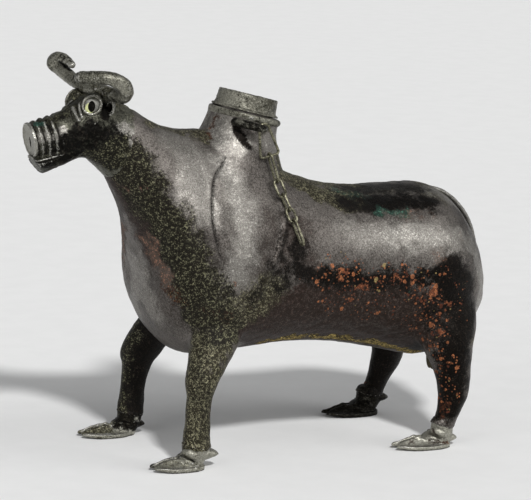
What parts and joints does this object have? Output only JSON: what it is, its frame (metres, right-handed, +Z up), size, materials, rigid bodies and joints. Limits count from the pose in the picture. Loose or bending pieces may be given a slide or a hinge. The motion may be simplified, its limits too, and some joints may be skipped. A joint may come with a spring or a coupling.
{
  "type": "bull-shaped pouring vessel",
  "caption": "Hollow bronze vessel shaped as a standing bull, with a filling neck on the hump and a hanging chain of wire links.",
  "frame": {"origin": "on the ground under the middle of the bounding box", "axes": "+X from the muzzle to the tail, +Y to the bull's right side, +Z up"},
  "size_m": [0.3198, 0.1194, 0.2484],
  "materials": {
    "body_bronze": "dark patinated bronze, worn smooth",
    "head_bronze": "dark olive patinated bronze",
    "leg_bronze": "rough dark green-brown patina",
    "foot_bronze": "grey bronze, rubbed at the rims",
    "collar_bronze": "grey-green bronze",
    "wire_bronze": "dark wire with pale yellow wear",
    "inlay": "pale stone-like inlay"
  },
  "bodies": {
    "vessel": {"body_shell": "body_bronze", "neck_moulding": "collar_bronze", "rim_band": "collar_bronze", "chain_lug": "collar_bronze", "head": "head_bronze", "nose_plate": "head_bronze", "horn_bar": "head_bronze", "tail": "body_bronze", "scrotum": "leg_bronze", "ear_left": "head_bronze", "eye_ring_left": "head_bronze", "eye_inlay_left": "inlay", "front_leg_left": "leg_bronze", "front_foot_left": "foot_bronze", "hind_leg_left": "leg_bronze", "hind_foot_left": "foot_bronze", "ear_right": "head_bronze", "eye_ring_right": "head_bronze", "eye_inlay_right": "inlay", "front_leg_right": "leg_bronze", "front_foot_right": "foot_bronze", "hind_leg_right": "leg_bronze", "hind_foot_right": "foot_bronze"},
    "link_1": {"chain_link_1": "wire_bronze"},
    "link_2": {"chain_link_2": "wire_bronze"},
    "link_3": {"chain_link_3": "wire_bronze"},
    "link_4": {"chain_link_4": "wire_bronze"},
    "link_5": {"chain_link_5": "wire_bronze"},
    "link_6": {"chain_link_6": "wire_bronze"}
  },
  "joints": [
    {"name": "link_1_swing", "type": "hinge", "parent": "vessel", "child": "link_1", "pos_m": [-0.01478, -0.028, 0.20773], "axis": [-0.9703, 0, -0.2419], "range_deg": [0, 26]},
    {"name": "link_2_swing", "type": "hinge", "parent": "link_1", "child": "link_2", "pos_m": [-0.00983, -0.02889, 0.18785], "axis": [-0.9703, 0, -0.2419], "range_deg": [0, 30]},
    {"name": "link_3_swing", "type": "hinge", "parent": "link_2", "child": "link_3", "pos_m": [-0.00622, -0.03193, 0.1734], "axis": [-0.9703, 0, -0.2419], "range_deg": [0, 25]},
    {"name": "link_4_swing", "type": "hinge", "parent": "link_3", "child": "link_4", "pos_m": [-0.00373, -0.03706, 0.16342], "axis": [-0.9703, 0, -0.2419], "range_deg": [0, 25]},
    {"name": "link_5_swing", "type": "hinge", "parent": "link_4", "child": "link_5", "pos_m": [-0.00212, -0.04107, 0.15693], "axis": [-0.9703, 0, -0.2419], "range_deg": [0, 25]},
    {"name": "link_6_swing", "type": "hinge", "parent": "link_5", "child": "link_6", "pos_m": [-0.00013, -0.04563, 0.14895], "axis": [-0.9703, 0, -0.2419], "range_deg": [0, 25]}
  ]
}
